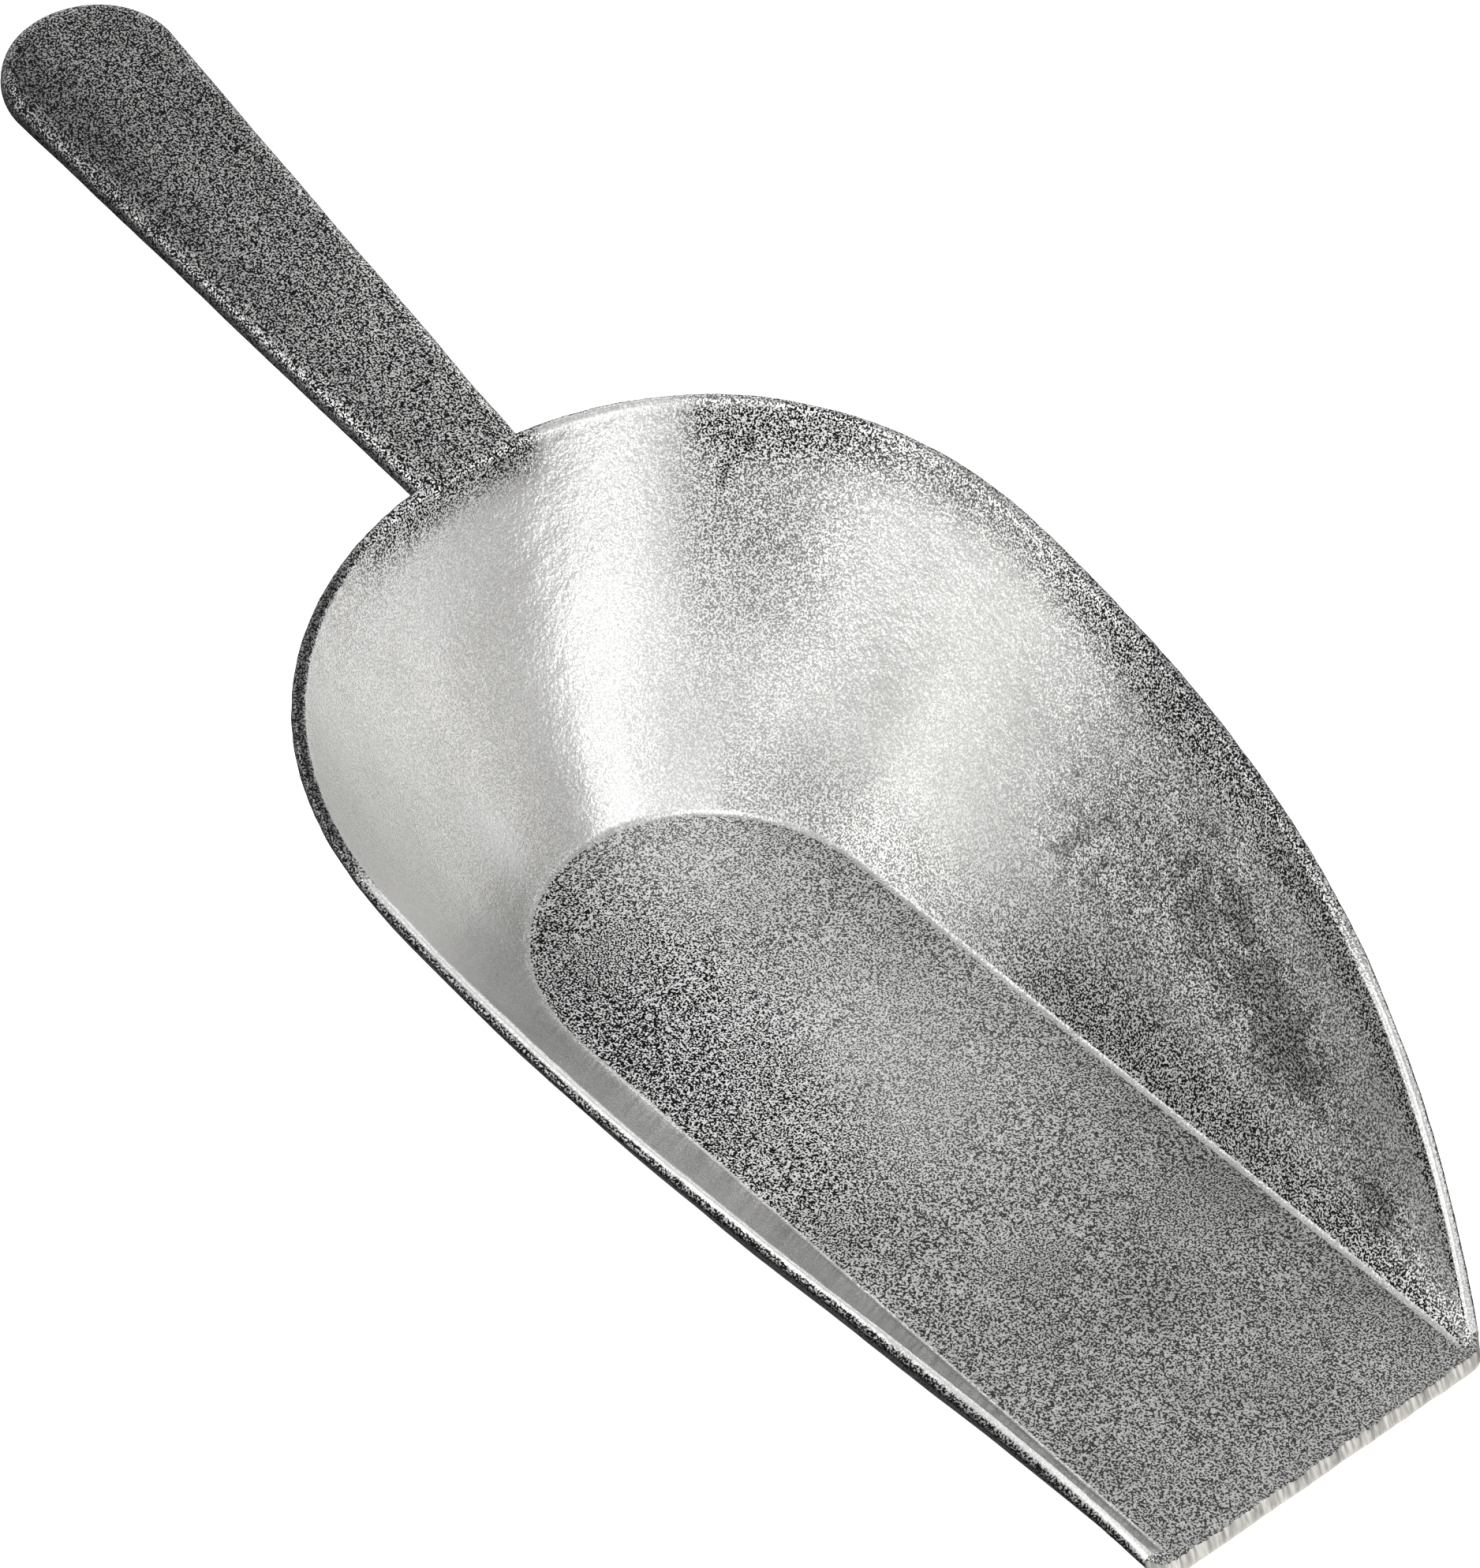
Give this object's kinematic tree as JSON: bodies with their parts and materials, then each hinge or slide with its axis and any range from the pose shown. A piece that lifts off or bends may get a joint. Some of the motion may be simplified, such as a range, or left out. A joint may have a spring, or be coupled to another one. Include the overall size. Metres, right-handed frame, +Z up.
{
  "type": "ice scoop",
  "caption": "Cast scoop with a flat-bottomed, flared bowl open at the top and front, and a straight flat handle, for lifting ice or dry goods.",
  "frame": {"origin": "under the middle of the whole length, on the flat face that the scoop rests on", "axes": "+X runs from the handle to the pouring lip, +Z is up, and +Y makes the frame right-handed; the plane y = 0 is the mirror plane"},
  "size_m": [0.3956, 0.169, 0.1143],
  "materials": {
    "cast_floor": "as-cast, matt and finely pebbled, with worn bright grains",
    "cast_wall": "as-cast, satin and finely pebbled, tumbled bright towards the back",
    "cast_handle": "as-cast, dull and dark between the grains",
    "ground_edge": "ground bare across the edge"
  },
  "bodies": {
    "root": {"bowl_floor": "cast_floor", "pouring_lip": "ground_edge", "bowl_back_wall": "cast_wall", "bowl_left_wall": "cast_wall", "bowl_right_wall": "cast_wall", "handle_root": "cast_handle", "handle_grip": "cast_handle", "handle_end": "cast_handle"}
  },
  "joints": []
}
